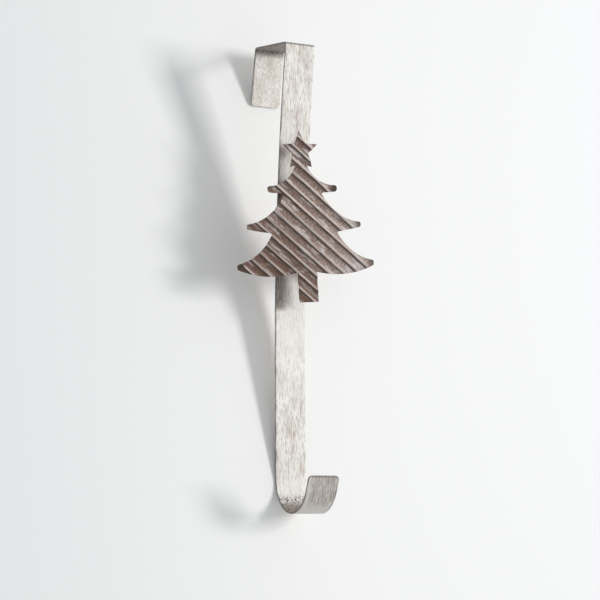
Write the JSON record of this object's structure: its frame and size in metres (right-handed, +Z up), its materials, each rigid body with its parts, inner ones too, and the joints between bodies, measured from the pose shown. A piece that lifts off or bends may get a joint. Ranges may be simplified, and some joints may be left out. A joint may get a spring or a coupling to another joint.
{
  "type": "wreath hanger",
  "caption": "Over-the-door wreath hanger: one bent steel strip with a flap, bridge, shank and flared hook, and a fluted sheet tree plaque on a bracket in front.",
  "frame": {"origin": "middle of the bridge's underside, where the hanger sits on the top edge of the door", "axes": "+Z up, -Y towards the front where the plaque is, +X to the right seen along +Y"},
  "size_m": [0.1016, 0.1292, 0.3123],
  "materials": {
    "whitewashed_steel": "matt whitewash brushed along the strip, worn to grey and brown",
    "rusted_sheet": "matt brown and rust, with pale wash along the flutes",
    "bracket_steel": "matt whitewash, thin and grey"
  },
  "bodies": {
    "root": {"hanger_strip": "whitewashed_steel", "tree_plaque": "rusted_sheet", "plaque_bracket": "bracket_steel"}
  },
  "joints": []
}
